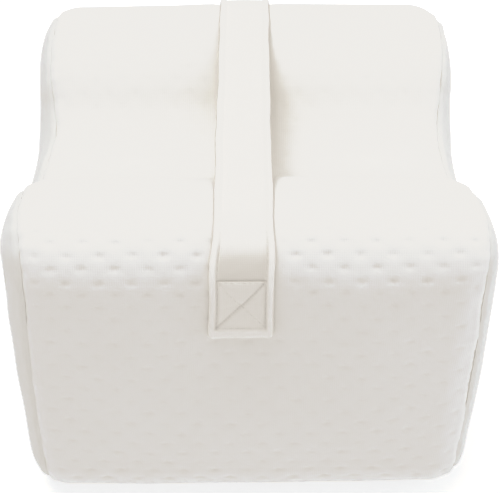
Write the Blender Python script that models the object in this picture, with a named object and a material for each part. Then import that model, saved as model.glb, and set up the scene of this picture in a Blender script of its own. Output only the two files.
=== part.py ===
# Knee pillow: a filled hourglass cushion in a sewn knit cover, with a strap over its upper valley.
# Lengths are in metres. +Z is up, -Y is the front face with the sewn end of the strap,
# and the origin lies on the resting surface under the middle of the pillow.

import math

import bmesh
import bpy

# Cushion: outline seen from the side, drawn as tangent arcs
WIDTH = 0.250                # across both side panels
DEPTH = 0.250                # front face to back face
HEIGHT = 0.188               # resting surface to the top of the lobes
SQUASH = 0.002               # how far the lower lobes press flat under the pillow's weight
WAIST = 0.1035               # between the deepest points of the two valleys
FACE_ROUNDING = 0.0315       # from an end face onto a lobe
LOBE_ROUNDING = 0.070        # from the top of a lobe towards the valley
EDGE_ROUNDING = 0.0240       # from the band onto a side panel
BAND_CROWN = 0.0008          # how far the band rises from the side edges to the middle
SIDE_CROWN = 0.0020          # how far a side panel swells at its middle

# Cover: the side panels are let into the rounded side edges
SEAM_ANGLES = {-1: 35.0, 1: 44.0}    # degrees of the rounding that the band covers, left and right
SEAM_DIP = 0.0008            # how far the stitching pulls both cloths in
SEAM_REACH = 4.0             # degrees of rounding over which the dip fades
PANEL_THICKNESS = 0.0025
PIECE_GAP = 0.0003

# Strap: one padded tape with rolled borders, sewn down on the front and back faces
STRAP_END_HEIGHT = 0.134     # lower edge of each sewn end above the resting surface
STRAP_WIDTH = 0.0318
STRAP_NECK = 0.0292          # width where it is drawn tight over the valley
STRAP_MIDDLE_X = -0.0011     # sideways place at the middle of the span
STRAP_DRIFT = 0.0125         # sideways drift for each metre along the strap
STRAP_SLACK_ANGLE = 3.5      # degrees below level at which it leaves a lobe
STRAP_CORNER = 0.0020        # rounding of the corners of the sewn ends

# Arc steps of the outline and the other counts of the mesh
VALLEY_STEPS = 5
LOBE_STEPS = 5
FACE_STEPS = 6
RUNGS = 6                    # rows of faces across a side panel, and down an end face
BAND_STATIONS = (0.0, 0.35, 0.65, 0.87, 1.0)    # shares of the half width of the band
BAND_ROUNDING_STEPS = 4
PANEL_ROUNDING_STEPS = 4
SPAN_STEPS = 10
STRAP_FACE_STEPS = 3

# Strap section: share of the half width, height of the underside, height of the top
STRAP_SECTION = (
    (0.00, 0.0000, 0.0023),
    (0.66, 0.0000, 0.0022),
    (0.74, 0.0000, 0.0017),
    (0.86, 0.0000, 0.0027),
    (0.96, 0.0003, 0.0021),
    (1.00, 0.0011, 0.0013),
)

COVER_WHITE = (0.86, 0.85, 0.82, 1.0)
PANEL_WHITE = (0.80, 0.81, 0.81, 1.0)
STRAP_WHITE = (0.85, 0.84, 0.81, 1.0)

# Worked out from the sizes above
HALF_DEPTH = DEPTH / 2
HALF_HEIGHT = (HEIGHT + SQUASH) / 2
CENTRE_HEIGHT = HEIGHT - HALF_HEIGHT
BAND_EDGE_X = WIDTH / 2 - SIDE_CROWN - EDGE_ROUNDING
PANEL_INSET = PANEL_THICKNESS + PIECE_GAP
GAP_ANGLE = math.degrees(PIECE_GAP / EDGE_ROUNDING)


def outline_arcs():
    """Rows of centre y, centre z, signed radius, first and last angle in degrees, and steps."""
    lobe_y = HALF_DEPTH - FACE_ROUNDING
    lobe_z = HALF_HEIGHT - LOBE_ROUNDING
    rise = WAIST / 2 - lobe_z
    valley_radius = (lobe_y**2 + rise**2 - LOBE_ROUNDING**2) / (2 * (LOBE_ROUNDING - rise))
    valley_z = WAIST / 2 + valley_radius
    meet = math.degrees(math.atan2(valley_z - lobe_z, -lobe_y))
    return (
        (0.0, valley_z, -valley_radius, 90.0, meet, VALLEY_STEPS),
        (lobe_y, lobe_z, LOBE_ROUNDING, meet, 90.0, LOBE_STEPS),
        (lobe_y, HALF_HEIGHT - FACE_ROUNDING, FACE_ROUNDING, 90.0, 0.0, FACE_STEPS),
    )


def quarter_outline():
    """Points (y, z) with outward directions, from the valley's middle to the end face."""
    samples = []
    for centre_y, centre_z, radius, first, last, steps in outline_arcs():
        start = 1 if samples else 0
        for step in range(start, steps + 1):
            angle = math.radians(first + (last - first) * step / steps)
            out_y = math.cos(angle)
            out_z = math.sin(angle)
            samples.append((centre_y + radius * out_y, centre_z + radius * out_z, out_y, out_z))
    return samples


def closed_outline():
    """The whole outline, running over the top from front to back and home along the bottom."""
    quarter = quarter_outline()
    top = [(-y, z, -oy, oz) for y, z, oy, oz in reversed(quarter)]
    top += quarter[1:]
    bottom = [(y, -z, oy, -oz) for y, z, oy, oz in reversed(top)]
    face_z = quarter[-1][1]
    face_heights = [face_z * (1 - 2 * rung / RUNGS) for rung in range(1, RUNGS)]
    back = [(HALF_DEPTH, z, 1.0, 0.0) for z in face_heights]
    front = [(-HALF_DEPTH, z, -1.0, 0.0) for z in reversed(face_heights)]
    return top + back + bottom + front


def ring(mesh, outline, x, inset):
    """One loop of the outline at x, drawn in by inset and flattened on the resting surface."""
    loop = []
    for y, z, out_y, out_z in outline:
        height = max(0.0, CENTRE_HEIGHT + z - inset * out_z)
        loop.append(mesh.verts.new((x, y - inset * out_y, height)))
    return loop


def bridge(mesh, loop, next_loop):
    """Faces between two loops of the same length."""
    count = len(loop)
    for i in range(count):
        j = (i + 1) % count
        mesh.faces.new((loop[i], loop[j], next_loop[j], next_loop[i]))


def fill_side(mesh, loop, crown):
    """Close a loop with rungs from its top row to its bottom row, swelling by crown."""
    row = (len(loop) - 2 * (RUNGS - 1)) // 2
    columns = []
    for i in range(row):
        upper = loop[i]
        lower = loop[2 * row + RUNGS - 2 - i]
        if i == 0:
            inner = [loop[len(loop) - rung] for rung in range(1, RUNGS)]
        elif i == row - 1:
            inner = [loop[row - 1 + rung] for rung in range(1, RUNGS)]
        else:
            inner = []
            along = upper.co.y / loop[0].co.y
            for rung in range(1, RUNGS):
                down = 2 * rung / RUNGS - 1
                swell = crown * (1 - down**2) * math.sqrt(1 - along**2)
                spot = upper.co.lerp(lower.co, rung / RUNGS)
                inner.append(mesh.verts.new((spot.x + swell, spot.y, spot.z)))
        columns.append([upper] + inner + [lower])
    for left, right in zip(columns, columns[1:]):
        for rung in range(RUNGS):
            mesh.faces.new((left[rung], right[rung], right[rung + 1], left[rung + 1]))


def rounding(angle, radius, dip=0.0):
    """Distance from the middle and inset of the side rounding at an angle, for one radius."""
    turn = math.radians(angle)
    reach = radius - dip
    out = BAND_EDGE_X + reach * math.sin(turn)
    inset = BAND_CROWN + EDGE_ROUNDING - reach * math.cos(turn)
    return out, inset


def cushion_sections(side):
    """Distance from the middle and inset of each loop, from the middle to one side."""
    seam = SEAM_ANGLES[side]
    sections = [(BAND_EDGE_X * share, BAND_CROWN * share**2) for share in BAND_STATIONS]
    fade = seam - SEAM_REACH
    for step in range(1, BAND_ROUNDING_STEPS + 1):
        sections.append(rounding(fade * step / BAND_ROUNDING_STEPS, EDGE_ROUNDING))
    sections.append(rounding(seam, EDGE_ROUNDING, SEAM_DIP))
    for step in range(PANEL_ROUNDING_STEPS):
        angle = seam + (90.0 - seam) * step / (PANEL_ROUNDING_STEPS - 1)
        sections.append(rounding(angle, EDGE_ROUNDING - PANEL_INSET))
    return sections


def panel_sections(side, radius, dip):
    """Distance from the middle and inset of each loop of one face of a side panel."""
    edge = SEAM_ANGLES[side] + GAP_ANGLE
    sections = [rounding(edge, radius, dip)]
    for step in range(PANEL_ROUNDING_STEPS):
        angle = edge + SEAM_REACH + (90.0 - edge - SEAM_REACH) * step / (PANEL_ROUNDING_STEPS - 1)
        sections.append(rounding(angle, radius))
    return sections


def finish_object(name, mesh, material, collection):
    """Turn the faces out, smooth them and link the object to the collection."""
    bmesh.ops.recalc_face_normals(mesh, faces=mesh.faces)
    data = bpy.data.meshes.new(name)
    mesh.to_mesh(data)
    mesh.free()
    data.shade_smooth()
    data.set_sharp_from_angle(angle=math.radians(35))
    data.materials.append(material)
    thing = bpy.data.objects.new(name, data)
    collection.objects.link(thing)
    return thing


def cloth_material(name, colour, roughness):
    """A plain woven cloth colour."""
    material = bpy.data.materials.new(name)
    material.use_nodes = True
    shader = material.node_tree.nodes["Principled BSDF"]
    shader.inputs["Base Color"].default_value = colour
    shader.inputs["Roughness"].default_value = roughness
    shader.inputs["Metallic"].default_value = 0.0
    material.diffuse_color = colour
    return material


def build_cushion(collection):
    """The filled body with its band, stepped in where the side panels lie on it."""
    mesh = bmesh.new()
    outline = closed_outline()
    sections = [(-x, inset) for x, inset in reversed(cushion_sections(-1))]
    sections += cushion_sections(1)[1:]
    loops = [ring(mesh, outline, x, inset) for x, inset in sections]
    for loop, next_loop in zip(loops, loops[1:]):
        bridge(mesh, loop, next_loop)
    fill_side(mesh, loops[0], -SIDE_CROWN)
    fill_side(mesh, loops[-1], SIDE_CROWN)
    return finish_object("cushion", mesh, cloth_material("cover_knit", COVER_WHITE, 0.85), collection)


def build_side_panel(name, side, collection):
    """A dished sheet over one side, from its seam inwards."""
    mesh = bmesh.new()
    outline = closed_outline()
    outer = panel_sections(side, EDGE_ROUNDING, SEAM_DIP)
    inner = panel_sections(side, EDGE_ROUNDING - PANEL_THICKNESS, 0.0)
    outer_loops = [ring(mesh, outline, side * x, inset) for x, inset in outer]
    inner_loops = [ring(mesh, outline, side * x, inset) for x, inset in inner]
    for loops in (outer_loops, inner_loops):
        for loop, next_loop in zip(loops, loops[1:]):
            bridge(mesh, loop, next_loop)
        fill_side(mesh, loops[-1], side * SIDE_CROWN)
    bridge(mesh, outer_loops[0], inner_loops[0])
    return finish_object(name, mesh, cloth_material("panel_knit", PANEL_WHITE, 0.88), collection)


def half_strap_path():
    """Underside points (y, z) with outward directions, from mid-span to the sewn end at the back."""
    slack = math.radians(STRAP_SLACK_ANGLE)
    lobe_y = HALF_DEPTH - FACE_ROUNDING
    lobe_z = HALF_HEIGHT - LOBE_ROUNDING
    lobe_reach = LOBE_ROUNDING + PIECE_GAP
    leave_y = lobe_y - lobe_reach * math.sin(slack)
    leave_z = lobe_z + lobe_reach * math.cos(slack)
    path = []
    for step in range(SPAN_STEPS // 2):
        y = leave_y * step / (SPAN_STEPS // 2)
        slope = math.tan(slack) * y / leave_y
        z = leave_z - math.tan(slack) * (leave_y**2 - y**2) / (2 * leave_y)
        length = math.hypot(1.0, slope)
        path.append((y, z, -slope / length, 1.0 / length))
    path.append((leave_y, leave_z, -math.sin(slack), math.cos(slack)))
    face = [row for row in quarter_outline() if row[0] >= lobe_y - PIECE_GAP / 10]
    path += [(y + PIECE_GAP * oy, z + PIECE_GAP * oz, oy, oz) for y, z, oy, oz in face]
    face_z = path[-1][1]
    end_z = STRAP_END_HEIGHT - CENTRE_HEIGHT
    corner_z = end_z + STRAP_CORNER
    heights = [face_z + (corner_z - face_z) * step / STRAP_FACE_STEPS
               for step in range(1, STRAP_FACE_STEPS + 1)]
    heights += [end_z + STRAP_CORNER * 0.3, end_z]
    path += [(HALF_DEPTH + PIECE_GAP, z, 1.0, 0.0) for z in heights]
    return path


def strap_half_width(y, above_end):
    """Half the width of the strap at a place y, above_end above the edge of its sewn end."""
    free = max(0.0, 1.0 - (abs(y) / (HALF_DEPTH - FACE_ROUNDING)) ** 4)
    width = STRAP_WIDTH - (STRAP_WIDTH - STRAP_NECK) * free
    drop = max(0.0, STRAP_CORNER - above_end) if abs(y) > HALF_DEPTH else 0.0
    corner = STRAP_CORNER - math.sqrt(max(0.0, STRAP_CORNER**2 - drop**2))
    return width / 2 - corner


def build_strap(collection):
    """The strap as one section swept over both lobes, with closed ends."""
    mesh = bmesh.new()
    half = half_strap_path()
    path = [(-y, z, -oy, oz) for y, z, oy, oz in reversed(half)] + half[1:]
    right = STRAP_SECTION[1:]
    tops = [(-share, top) for share, _, top in reversed(right)]
    tops += [(share, top) for share, _, top in STRAP_SECTION]
    unders = [(share, under) for share, under, _ in reversed(STRAP_SECTION)]
    unders += [(-share, under) for share, under, _ in right]
    section = tops + unders

    lengths = [0.0]
    for (y0, z0, _, _), (y1, z1, _, _) in zip(path, path[1:]):
        lengths.append(lengths[-1] + math.hypot(y1 - y0, z1 - z0))
    middle = lengths[-1] / 2

    loops = []
    for (y, z, out_y, out_z), along in zip(path, lengths):
        height = CENTRE_HEIGHT + z
        half_width = strap_half_width(y, height - STRAP_END_HEIGHT)
        centre_x = STRAP_MIDDLE_X + STRAP_DRIFT * (along - middle)
        loops.append([
            mesh.verts.new((centre_x + half_width * share, y + lift * out_y, height + lift * out_z))
            for share, lift in section
        ])
    for loop, next_loop in zip(loops, loops[1:]):
        bridge(mesh, loop, next_loop)
    for loop in (loops[0], loops[-1]):
        mesh.faces.new(loop)
    return finish_object("strap", mesh, cloth_material("strap_knit", STRAP_WHITE, 0.85), collection)


def main():
    """Clear the scene and build the four sewn pieces."""
    for thing in list(bpy.data.objects):
        bpy.data.objects.remove(thing, do_unlink=True)
    collection = bpy.data.collections.new("knee_pillow")
    bpy.context.scene.collection.children.link(collection)
    build_cushion(collection)
    build_side_panel("side_panel_left", -1, collection)
    build_side_panel("side_panel_right", 1, collection)
    build_strap(collection)


main()
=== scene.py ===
"""Looks of the knee pillow: a filled hourglass cushion in a dimpled knit cover.

Four sewn pieces are shaped here in fine detail over the frame's nodes: the cushion with
its dimpled band, two side panels and the padded strap with its stitching. Lengths are in
metres, +Z is up and -Y is the front face.
"""

import logging
import math
from dataclasses import dataclass
from enum import Enum
from functools import cached_property

import bpy
import numpy as np
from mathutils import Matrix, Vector
from mathutils.kdtree import KDTree

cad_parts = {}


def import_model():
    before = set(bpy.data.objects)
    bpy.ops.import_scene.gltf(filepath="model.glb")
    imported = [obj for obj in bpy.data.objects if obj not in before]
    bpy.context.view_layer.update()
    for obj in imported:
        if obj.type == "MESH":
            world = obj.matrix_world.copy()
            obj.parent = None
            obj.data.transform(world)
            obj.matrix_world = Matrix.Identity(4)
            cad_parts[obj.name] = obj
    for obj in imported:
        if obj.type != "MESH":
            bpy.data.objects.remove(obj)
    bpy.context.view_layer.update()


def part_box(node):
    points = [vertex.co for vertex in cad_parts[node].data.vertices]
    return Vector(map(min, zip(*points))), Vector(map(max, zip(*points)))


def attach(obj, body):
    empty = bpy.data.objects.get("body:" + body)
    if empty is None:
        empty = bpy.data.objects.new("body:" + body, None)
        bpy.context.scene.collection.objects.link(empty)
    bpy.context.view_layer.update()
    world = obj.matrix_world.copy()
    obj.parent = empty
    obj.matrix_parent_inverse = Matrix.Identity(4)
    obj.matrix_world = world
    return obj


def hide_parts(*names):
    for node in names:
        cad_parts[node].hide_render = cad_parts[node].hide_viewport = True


LOG = logging.getLogger("knee_pillow")
CLOTH_MAP = "cloth"
# Attribute of painted shade: it darkens the colour in dimples and sewn channels.
HOLLOW_SHADE = "hollow_shade"
BLUR_STEPS = 9

Array = np.ndarray
Colour = tuple[float, float, float]


class Side(Enum):
    """The two sides of the pillow, by the sign of their x."""

    LEFT = -1
    RIGHT = 1


class Slot(Enum):
    """Material slots of the record."""

    COVER = "cover_knit"
    PANEL = "panel_knit"
    STRAP = "strap_knit"


# Small numeric helpers


def bell(distance: Array | float, reach: Array | float) -> Array:
    """A bump of height 1 that fades over reach."""
    return np.exp(-((np.asarray(distance) / reach) ** 2))


def ease(value: Array | float, low: float, high: float) -> Array:
    """A smooth step from 0 at low to 1 at high."""
    share = np.clip((np.asarray(value, float) - low) / (high - low), 0.0, 1.0)
    return share * share * (3 - 2 * share)


def chance(first: Array, second: Array, turn: float) -> Array:
    """A repeatable number from -1 to 1 for each pair of whole numbers.

    Args:
        first: One whole number of each pair.
        second: The other whole number.
        turn: Gives another row of numbers for the same pairs.

    Returns:
        An array of the same shape.
    """
    raw = np.sin(first * 12.9898 + second * 78.233 + turn * 37.719) * 43758.5453
    return 2 * (raw - np.floor(raw)) - 1


@dataclass(frozen=True)
class Ripples:
    """Soft uneven waves on a cloth, as a sum of sines in mixed directions.

    Attributes:
        height: Typical height of the waves.
        short: Shortest wavelength.
        long: Longest wavelength.
        seed: Starts the row of random numbers.
        count: How many sines are added.
    """

    height: float
    short: float
    long: float
    seed: int
    count: int = 14

    def at(self, across: Array, along: Array) -> Array:
        """Height of the waves at places on the cloth.

        Args:
            across: Distance across the cloth.
            along: Distance along the cloth.

        Returns:
            Heights in the broadcast shape of both.
        """
        draw = np.random.default_rng(self.seed)
        total = np.zeros(np.broadcast(across, along).shape)
        for _ in range(self.count):
            wave = 2 * math.pi / draw.uniform(self.short, self.long)
            heading = draw.uniform(0, 2 * math.pi)
            phase = draw.uniform(0, 2 * math.pi)
            total += np.sin(wave * (across * math.cos(heading) + along * math.sin(heading)) + phase)
        return self.height * total / math.sqrt(self.count / 2)


@dataclass(frozen=True)
class Lump:
    """One local swelling or dent of the filling.

    Attributes:
        place: Centre in the frame.
        reach: Fading distance along x, y and z.
        height: How far it stands out; a dent is negative.
    """

    place: tuple[float, float, float]
    reach: tuple[float, float, float]
    height: float

    def at(self, points: Array) -> Array:
        """Its height at each of the points, given as rows of x, y, z."""
        share = (points - np.array(self.place)) / np.array(self.reach)
        return self.height * np.exp(-(share**2).sum(axis=-1))


# Mesh making


def linked(thing: bpy.types.Object) -> bpy.types.Object:
    """Put a new object in the scene."""
    bpy.context.scene.collection.objects.link(thing)
    return thing


def discard(thing: bpy.types.Object) -> None:
    """Remove an object with its mesh."""
    mesh = thing.data
    bpy.data.objects.remove(thing)
    bpy.data.meshes.remove(mesh)


def evaluated_mesh(thing: bpy.types.Object) -> bpy.types.Mesh:
    """A new mesh of an object as its modifiers leave it."""
    depsgraph = bpy.context.evaluated_depsgraph_get()
    return bpy.data.meshes.new_from_object(thing.evaluated_get(depsgraph))


def vertex_rows(mesh: bpy.types.Mesh, name: str = "co") -> Array:
    """Places or normals of a mesh's vertices, one row each."""
    values = np.zeros(len(mesh.vertices) * 3, np.float32)
    mesh.vertices.foreach_get(name, values)
    return values.reshape(-1, 3).astype(float)


def place_vertices(mesh: bpy.types.Mesh, points: Array) -> None:
    """Move a mesh's vertices to the points."""
    mesh.vertices.foreach_set("co", points.astype(np.float32).ravel())


def search_tree(points: Array) -> KDTree:
    """A tree that finds the nearest of the points by their numbers."""
    tree = KDTree(len(points))
    for number, point in enumerate(points):
        tree.insert(point, number)
    tree.balance()
    return tree


def stacked(*parts: Array | float) -> Array:
    """The parts in their broadcast shape, side by side along a new last axis."""
    return np.stack(np.broadcast_arrays(*parts), axis=-1)


def mesh_object(name: str, points: Array, faces: list[Array], material: bpy.types.Material,
                cloth: Array, hollow_shade: Array | None = None) -> bpy.types.Object:
    """Make a smooth mesh object from arrays.

    Args:
        name: Name of the object.
        points: Vertex places, one row each.
        faces: Arrays of corner numbers, each with three or four columns or one n-gon row.
        material: Its only material.
        cloth: Cloth coordinates of the vertices, in metres.
        hollow_shade: Painted shade of each vertex, for lying in a dimple or channel, from 0 to 1.

    Returns:
        The object, linked to the scene.
    """
    corners = np.concatenate([rows.ravel() for rows in faces]).astype(np.int32)
    totals = np.concatenate([np.full(len(rows), rows.shape[1]) for rows in faces]).astype(np.int32)
    starts = np.concatenate([[0], np.cumsum(totals)[:-1]]).astype(np.int32)
    mesh = bpy.data.meshes.new(name)
    mesh.vertices.add(len(points))
    place_vertices(mesh, points)
    mesh.loops.add(len(corners))
    mesh.loops.foreach_set("vertex_index", corners)
    mesh.polygons.add(len(totals))
    mesh.polygons.foreach_set("loop_start", starts)
    mesh.update(calc_edges=True)
    mesh.validate()
    mesh.shade_smooth()
    layer = mesh.uv_layers.new(name=CLOTH_MAP)
    layer.data.foreach_set("uv", cloth[corners].astype(np.float32).ravel())
    # Painted shade is stored for each vertex, for the material to darken the colour.
    if hollow_shade is not None:
        shade = mesh.attributes.new(HOLLOW_SHADE, "FLOAT", "POINT")
        shade.data.foreach_set("value", hollow_shade.astype(np.float32))
    mesh.materials.append(material)
    return linked(bpy.data.objects.new(name, mesh))


def grid_faces(rows: int, columns: int, flip: bool = False) -> Array:
    """Quads between rows of vertices, each of which joins its own start.

    Args:
        rows: How many rows of vertices.
        columns: How many vertices in a row.
        flip: Whether the faces turn the other way.

    Returns:
        One row of four vertex numbers for each face.
    """
    row, column = np.meshgrid(np.arange(rows - 1), np.arange(columns), indexing="ij")
    after = (column + 1) % columns
    quads = np.stack([row * columns + column, row * columns + after,
                      (row + 1) * columns + after, (row + 1) * columns + column], axis=-1)
    quads = quads.reshape(-1, 4)
    return quads[:, ::-1] if flip else quads


def tube_faces(rows: int, columns: int, flip: bool = False) -> list[Array]:
    """Faces of a tube of closed rows of vertices, with a cap on each end.

    Args:
        rows: How many rows of vertices.
        columns: How many vertices in a row.
        flip: Whether the faces turn the other way.

    Returns:
        The quads between the rows, and one row of numbers for each cap.
    """
    numbers = np.arange(rows * columns).reshape(rows, columns)
    way = -1 if flip else 1
    return [grid_faces(rows, columns, flip),
            numbers[0][None, ::-way], numbers[-1][None, ::way]]


# The form that all pieces follow


@dataclass(frozen=True)
class Outline:
    """Hourglass outline in the Y-Z plane, drawn as tangent arcs.

    Distances along it start at the middle of the front face and run up, over the top to
    the back and home along the bottom.

    Attributes:
        depth: Front face to back face.
        height: Resting surface to the top of the lobes.
        squash: How far the lower lobes press flat.
        waist: Between the deepest points of the valleys.
        face_rounding: Radius from an end face onto a lobe.
        lobe_rounding: Radius from a lobe towards the valley.
        pitch: Spacing of the table of points.
    """

    depth: float
    height: float
    squash: float = 0.002
    waist: float = 0.1035
    face_rounding: float = 0.0315
    lobe_rounding: float = 0.070
    pitch: float = 0.0004

    @property
    def half_height(self) -> float:
        """Half the height before it is pressed flat."""
        return (self.height + self.squash) / 2

    @property
    def centre(self) -> float:
        """Height of the outline's middle above the resting surface."""
        return self.height - self.half_height

    @property
    def lobe_y(self) -> float:
        """Distance of a lobe's top from the middle."""
        return self.depth / 2 - self.face_rounding

    def arcs(self) -> list[tuple[float, float, float, float, float]]:
        """Centre y and z, signed radius, first and last angle, from the end face to the valley."""
        lobe_z = self.half_height - self.lobe_rounding
        rise = self.waist / 2 - lobe_z
        reach = self.lobe_y**2 + rise**2 - self.lobe_rounding**2
        valley = reach / (2 * (self.lobe_rounding - rise))
        valley_z = self.waist / 2 + valley
        meet = math.atan2(valley_z - lobe_z, -self.lobe_y)
        face_z = self.half_height - self.face_rounding
        return [
            (self.lobe_y, face_z, self.face_rounding, 0.0, math.pi / 2),
            (self.lobe_y, lobe_z, self.lobe_rounding, math.pi / 2, meet),
            (0.0, valley_z, -valley, meet, math.pi / 2),
        ]

    @cached_property
    def quarter(self) -> Array:
        """Rows of distance, y, z and outward direction from an end face's middle to a valley."""
        face_z = self.half_height - self.face_rounding
        heights = np.arange(0, face_z, self.pitch)
        rows = [np.stack([np.full_like(heights, self.depth / 2), heights,
                          np.ones_like(heights), np.zeros_like(heights)], axis=1)]
        for centre_y, centre_z, radius, first, last in self.arcs():
            steps = max(2, round(abs((last - first) * radius) / self.pitch))
            angle = first + (last - first) * np.arange(steps) / steps
            out = np.stack([np.cos(angle), np.sin(angle)], axis=1)
            rows.append(np.hstack([np.array([centre_y, centre_z]) + radius * out, out]))
        rows.append(np.array([[0.0, self.waist / 2, 0.0, 1.0]]))
        table = np.vstack(rows)
        along = np.concatenate([[0], np.cumsum(np.hypot(*np.diff(table[:, :2], axis=0).T))])
        return np.column_stack([along, table])

    @property
    def quarter_length(self) -> float:
        """Length from an end face's middle to a valley's middle."""
        return float(self.quarter[-1, 0])

    @property
    def lobe_top(self) -> float:
        """Distance from a face's middle to the top of its lobe."""
        return self.half_height - self.face_rounding + self.face_rounding * math.pi / 2

    def face_distance(self, along: Array) -> Array:
        """Distance along the outline to the middle of the nearer end face."""
        half = 2 * self.quarter_length
        return np.abs(np.mod(along + half / 2, half) - half / 2)

    def at(self, along: Array) -> tuple[Array, Array, Array, Array]:
        """Places on the outline.

        Args:
            along: Distances from the front face's middle, of any sign.

        Returns:
            Arrays of y, z above the middle, and outward y and z.
        """
        length = self.quarter_length
        turn = np.mod(np.asarray(along, float) / length, 4.0)
        folded = np.select([turn <= 1, turn <= 2, turn <= 3], [turn, 2 - turn, turn - 2], 4 - turn)
        front = np.where((turn <= 1) | (turn > 3), -1.0, 1.0)
        upper = np.where(turn <= 2, 1.0, -1.0)
        distance, *values = self.quarter.T
        y, z, out_y, out_z = (np.interp(folded * length, distance, value) for value in values)
        return front * y, upper * z, front * out_y, upper * out_z


@dataclass(frozen=True)
class Profile:
    """Values at distances along the outline, smoothed between them.

    Attributes:
        places: Distance up from the front face's middle, or down when negative, and value there.
        blur: Distance over which the values are averaged.
    """

    places: tuple[tuple[float, float], ...]
    blur: float = 0.009

    def at(self, along: Array, whole: float) -> Array:
        """Values at distances along the outline.

        Args:
            along: Distances from the front face's middle, of any sign.
            whole: Length of the whole outline.

        Returns:
            Values in the shape of along.
        """
        distance, value = np.array(self.places).T
        offsets = np.linspace(-self.blur, self.blur, BLUR_STEPS)
        spots = np.mod(np.asarray(along)[..., None] + offsets + whole / 2, whole) - whole / 2
        return np.interp(spots, distance, value).mean(axis=-1)


# Degrees of the side rounding that the band covers, and how far each side stands out.
LEFT_SEAM = Profile((
    (-0.02, 34.0), (0.0, 33.5), (0.020, 31.0), (0.043, 28.5), (0.060, 27.0), (0.084, 26.5),
    (0.095, 29.0), (0.105, 32.0), (0.118, 36.0), (0.140, 38.0), (0.215, 38.0), (0.223, 37.0),
    (0.230, 34.0), (0.237, 30.5), (0.246, 29.5), (0.254, 31.5), (0.262, 35.0), (0.275, 38.0),
    (0.290, 39.0), (0.319, 38.5),
))
RIGHT_SEAM = Profile((
    (0.0, 43.0), (0.054, 42.0), (0.069, 42.0), (0.078, 45.0), (0.090, 48.0), (0.126, 49.0),
    (0.160, 46.0), (0.205, 41.0), (0.225, 38.0), (0.245, 37.0), (0.258, 38.5), (0.270, 41.0),
    (0.287, 44.0), (0.300, 48.0), (0.315, 53.0), (0.335, 52.0), (0.420, 45.0),
))
LEFT_FULLNESS = Profile((
    (-0.060, -0.0011), (0.0, -0.0010), (0.020, -0.0007), (0.045, -0.00045), (0.065, -0.0009),
    (0.085, -0.0005), (0.105, -0.0003), (0.125, -0.0004), (0.145, -0.0001), (0.165, 0.0010),
    (0.205, 0.0014), (0.222, 0.0010), (0.231, 0.0003), (0.240, -0.0013), (0.250, -0.0022),
    (0.260, -0.0015), (0.275, -0.0008), (0.300, -0.0006), (0.318, -0.0009), (0.332, -0.0015),
    (0.350, -0.0010),
))
RIGHT_FULLNESS = Profile((
    (-0.240, -0.0015), (-0.100, 0.0), (-0.065, -0.0010), (-0.050, -0.0007), (-0.036, 0.0004),
    (0.0, 0.0008), (0.020, 0.0014), (0.045, 0.0010), (0.080, 0.0007), (0.110, 0.0004), (0.125, 0.0),
    (0.140, -0.0008), (0.150, -0.0006), (0.222, -0.0006), (0.236, -0.0015), (0.250, -0.0020),
    (0.260, -0.0011), (0.270, 0.0), (0.290, 0.0005), (0.308, 0.0001), (0.332, -0.0004),
    (0.420, 0.0),
))
LUMPS = (
    Lump((-0.117, -0.030, 0.170), (0.016, 0.022, 0.018), 0.0022),
    Lump((-0.122, -0.110, 0.150), (0.016, 0.022, 0.020), -0.0020),
)


@dataclass(frozen=True)
class SideEdge:
    """The rounded side edges, where the band meets the side panels.

    Attributes:
        half_width: Middle of the pillow to the middle of a side panel.
        whole: Length of the whole outline.
        rounding: Radius from the band onto a side panel.
        band_crown: Rise of the band from its edges to its middle.
        side_crown: How far a side panel swells.
        seams: Degrees of each rounding that the band covers.
        fullness: How far each side stands out beyond its plain place.
        fullness_span: Distances from the middle between which the fullness grows.
        dip: How far the seam pulls both cloths in.
    """

    half_width: float
    whole: float
    rounding: float = 0.0240
    band_crown: float = 0.0008
    side_crown: float = 0.0020
    seams: tuple[Profile, Profile] = (LEFT_SEAM, RIGHT_SEAM)
    fullness: tuple[Profile, Profile] = (LEFT_FULLNESS, RIGHT_FULLNESS)
    fullness_span: tuple[float, float] = (0.072, 0.112)
    dip: float = 0.0005

    @property
    def start(self) -> float:
        """Distance from the middle at which the rounding starts."""
        return self.half_width - self.side_crown - self.rounding

    def seam(self, side: Side, along: Array) -> Array:
        """Angles of a side's seam, in radians."""
        profile = self.seams[0 if side is Side.LEFT else 1]
        return np.radians(profile.at(along, self.whole))

    def reach(self, side: Side, along: Array) -> Array:
        """Distances across the band from the middle to a seam."""
        return self.start + self.rounding * self.seam(side, along)

    def aside(self, x: Array, along: Array) -> Array:
        """How far places of the band and the sides move along X for the fullness there."""
        left, right = (profile.at(along, self.whole) for profile in self.fullness)
        return np.where(x < 0, -left, right) * ease(np.abs(x), *self.fullness_span)

    def section(self, across: Array) -> tuple[Array, Array, Array]:
        """Cross section of the band and its roundings.

        Args:
            across: Distances over the surface from the middle; the left is negative.

        Returns:
            Arrays of x, of the inset below the crown, and of the turn of the rounding.
        """
        sign = np.sign(across)
        flat = np.minimum(np.abs(across), self.start)
        turn = np.maximum(np.abs(across) - self.start, 0.0) / self.rounding
        x = sign * (flat + self.rounding * np.sin(turn))
        inset = self.band_crown * (flat / self.start) ** 2 + self.rounding * (1 - np.cos(turn))
        return x, inset, sign * turn


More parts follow.
